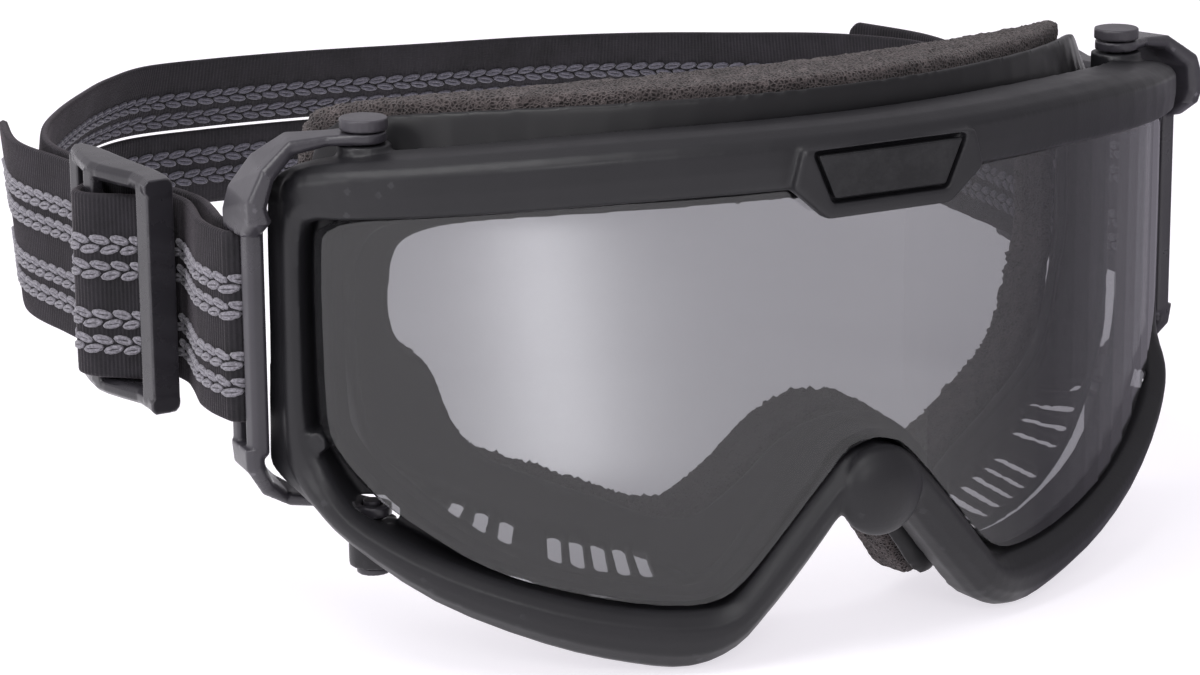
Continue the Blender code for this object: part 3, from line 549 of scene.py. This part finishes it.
def build_side(name, side):
    tail_rows = smoothed([strap_point(side, at, out) for at, out in cut_run(OUTER_RUN, SEAM_AT)])
    tail = Ribbon(tail_rows, -side, cant=lambda share: 1.6 * np.clip((share - 0.45) / 0.55, 0, 1))
    shell = strap_shell(
        tail,
        lambda s: -STRAP_HALF + corner(s, tail.length, 7),
        lambda s: STRAP_HALF - corner(s, tail.length, 2.5),
    )
    strap_piece(f"strap_end_{name}", [shell], [stitches(tail, 1), stitches(tail, -1)], "goggles",
                f"strap_tail_{name}")

    fold_rows = smoothed([strap_point(side, SLIDER_AT + at, out) for at, out in FOLD])
    fold = Ribbon(fold_rows, -side)
    shell = strap_shell(fold, level(-STRAP_HALF), level(STRAP_HALF))
    strap_piece(f"strap_over_slider_{name}", [shell], [stitches(fold, 1)], f"slider_{name}",
                f"strap_fold_{name}")

    inner = [strap_point(side, at, out) for at, out in front_run(INNER_RUN, SEAM_AT)][::-1]
    outer = [strap_point(side, at, out) for at, out in front_run(OUTER_RUN, SEAM_AT)]
    bend = [
        strap_point(side, -0.4 - LOOP_OUT * math.sin(turn), -LOOP_OUT * math.cos(turn))
        for turn in np.linspace(0, math.pi, 9)
    ]
    before_bend = [strap_point(side, 4.4, -LOOP_OUT)]
    after_bend = [strap_point(side, 4.4, LOOP_OUT)]
    front = Ribbon(smoothed(inner + before_bend + bend + after_bend + outer, 6), -side)
    shell = strap_shell(front, level(-STRAP_HALF), level(STRAP_HALF))
    across = (f"outrigger_{name}", "goggles",
              place(*strap_point(side, 3, 0), STRAP_Z), place(*strap_point(side, 19, 0), STRAP_Z))
    strap_piece(f"strap_front_{name}", [shell], [stitches(front, 1)], None, f"strap_loop_{name}",
                across)


# Foam


def cell_depth(spot):
    """How far the foam's surface stands out at a spot, in mm: soft waves, cells, and pits between them."""
    pits = min(noise.noise(spot * 2.3 + Vector((7, 3, 1))), 0.0)
    return 0.18 * noise.noise(spot * 0.35) + 0.22 * noise.noise(spot * 1.1) + 0.35 * pits


def ragged_edge(spot, normal):
    """The foam's cut edge round the opening reaches a little past the skirt, unevenly."""
    inwards = -Vector((spot.x, 0, spot.z - LIFT + 25)).normalized().dot(normal)
    torn = 0.5 + 0.5 * noise.noise(spot * 0.5) + 0.6 * noise.noise(spot * 1.4)
    return 2.4 * max(inwards - 0.3, 0.0) * torn


def build_foam(node, name):
    """A foam pad in the place of its solid: cells break up its surface, and its edge round the opening
    reaches out unevenly.
    """
    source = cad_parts[node]
    obj = bpy.data.objects.new(name, source.data.copy())
    bpy.context.scene.collection.objects.link(obj)
    remesh = obj.modifiers.new("cells", "REMESH")
    remesh.mode = "VOXEL"
    remesh.voxel_size = 0.75 * MM
    rounded = obj.modifiers.new("round", "SMOOTH")
    rounded.factor = 0.5
    rounded.iterations = 5
    bpy.context.view_layer.update()
    mesh = bpy.data.meshes.new_from_object(obj.evaluated_get(bpy.context.evaluated_depsgraph_get()))
    obj.modifiers.clear()
    obj.data = mesh
    count = len(mesh.vertices)
    points, normals = np.empty(count * 3), np.empty(count * 3)
    mesh.vertices.foreach_get("co", points)
    mesh.vertex_normals.foreach_get("vector", normals)
    points = points.reshape(-1, 3)
    cells = [
        cell_depth(Vector(point) / MM) + ragged_edge(Vector(point) / MM, Vector(normal))
        for point, normal in zip(points, normals.reshape(-1, 3))
    ]
    mesh.vertices.foreach_set("co", (points + normals.reshape(-1, 3) * np.array(cells)[:, None] * MM).ravel())
    mesh.shade_smooth()
    mesh.materials.clear()
    mesh.materials.append(MATERIALS["foam"])
    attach(obj, "goggles")
    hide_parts(node)
    return obj


# Stage


def build_camera():
    """The view is 29 degrees round to the wearer's right and 15 degrees above the lens."""
    lens = bpy.data.cameras.new("camera")
    lens.sensor_width = 36.0
    lens.lens = 120.03
    lens.clip_end = 20
    camera = bpy.data.objects.new("camera", lens)
    bpy.context.scene.collection.objects.link(camera)
    look = Vector((0.46939432, 0.84413237, -0.25905506))
    right = Vector((0.87292382, -0.48779437, -0.00778807))
    up = right.cross(look)
    turn = Matrix((right, up, -look)).transposed().to_4x4()
    turn.translation = place(-358.025, -544.815, 147.496)
    camera.matrix_world = turn
    bpy.context.scene.camera = camera


def area_light(name, spot, target, size, power, color=(1, 1, 1)):
    data = bpy.data.lights.new(name, "AREA")
    data.shape = "RECTANGLE"
    data.size, data.size_y = size
    data.energy = power
    data.color = color
    light = bpy.data.objects.new(name, data)
    light.location = spot
    light.rotation_euler = (Vector(target) - Vector(spot)).to_track_quat("-Z", "Y").to_euler()
    bpy.context.scene.collection.objects.link(light)
    return light


def build_flag():
    """A card on the floor to the wearer's left, which only reflections show: it darkens that side of the
    lens.
    """
    corners = [(0.03, -0.09, 0.001), (0.83, -1.36, 0.001), (1.5, 0.4, 0.001), (0.1, 0.3, 0.001)]
    mesh = bpy.data.meshes.new("flag")
    mesh.from_pydata(corners, [], [(0, 1, 2, 3)])
    made, nodes, links, shader = new_material("flag_card")
    spot = nodes.new("ShaderNodeTexCoord")
    shift = nodes.new("ShaderNodeMapping")
    shift.inputs["Location"].default_value = tuple(-value for value in corners[0])
    turn = nodes.new("ShaderNodeTexGradient")
    turn.gradient_type = "RADIAL"
    links.new(spot.outputs["Object"], shift.inputs["Vector"])
    links.new(shift.outputs["Vector"], turn.inputs["Vector"])
    tone = ramp(nodes, links, turn.outputs["Fac"], 0.335, 0.46, (1, 0.965, 1.03), (0.3, 0.28, 0.33))
    links.new(tone.outputs["Color"], shader.inputs["Emission Color"])
    shader.inputs["Emission Strength"].default_value = 1.12
    shader.inputs["Base Color"].default_value = (0, 0, 0, 1)
    shader.inputs["Specular IOR Level"].default_value = 0.0
    mesh.materials.append(made)
    flag = bpy.data.objects.new("flag", mesh)
    bpy.context.scene.collection.objects.link(flag)
    for kind in ("camera", "diffuse", "transmission", "shadow", "volume_scatter"):
        setattr(flag, f"visible_{kind}", False)


def studio_world():
    """Soft light from all round, brighter from the wearer's right than from the left."""
    world = bpy.data.worlds.new("studio")
    world.use_nodes = True
    nodes, links = world.node_tree.nodes, world.node_tree.links
    spot = nodes.new("ShaderNodeTexCoord")
    split = nodes.new("ShaderNodeSeparateXYZ")
    links.new(spot.outputs["Generated"], split.inputs["Vector"])
    spread = nodes.new("ShaderNodeMapRange")
    for socket, value in (("From Min", -1), ("From Max", 1), ("To Min", 0.85), ("To Max", 0.4)):
        spread.inputs[socket].default_value = value
    links.new(split.outputs["X"], spread.inputs["Value"])
    links.new(spread.outputs["Result"], nodes["Background"].inputs["Strength"])
    nodes["Background"].inputs["Color"].default_value = STUDIO_TINT
    return world


def build_stage():
    bpy.ops.mesh.primitive_plane_add(size=12, location=(0, 0, 0))
    floor = bpy.context.object
    floor.name = "floor"
    floor.data.materials.append(MATERIALS["floor"])
    bpy.context.scene.world = studio_world()
    area_light("top", (-0.35, -0.1, 0.9), (0, 0, 0.04), (0.6, 0.5), 4)
    area_light("left", (-0.9, -0.1, 0.4), (0, 0, 0.05), (0.3, 0.5), 2)
    area_light("front", (-0.5, -1.1, 0.8), (0, 0.1, 0.05), (0.4, 0.4), 3)
    build_flag()
    far, near = Vector((0.1005, 0.209, GLOW_HEIGHT)), Vector((0.0013, 0.0139, GLOW_HEIGHT))
    glow = area_light("glow_behind_lens", (far + near) / 2, (far + near) / 2 - Vector((0, 0, 1)),
                      (0.002, (far - near).length), GLOW_POWER)
    glow.rotation_euler = (0, 0, math.atan2(near.x - far.x, far.y - near.y))
    glow.visible_camera = glow.visible_transmission = glow.visible_glossy = False
    bpy.context.scene.view_settings.view_transform = "Standard"


for node_name, settings in NODE_LOOKS.items():
    dress(node_name, *settings)
build_foam("face_foam", "face_pad")
build_foam("nose_foam", "nose_pad")
build_strap()
build_camera()
build_stage()
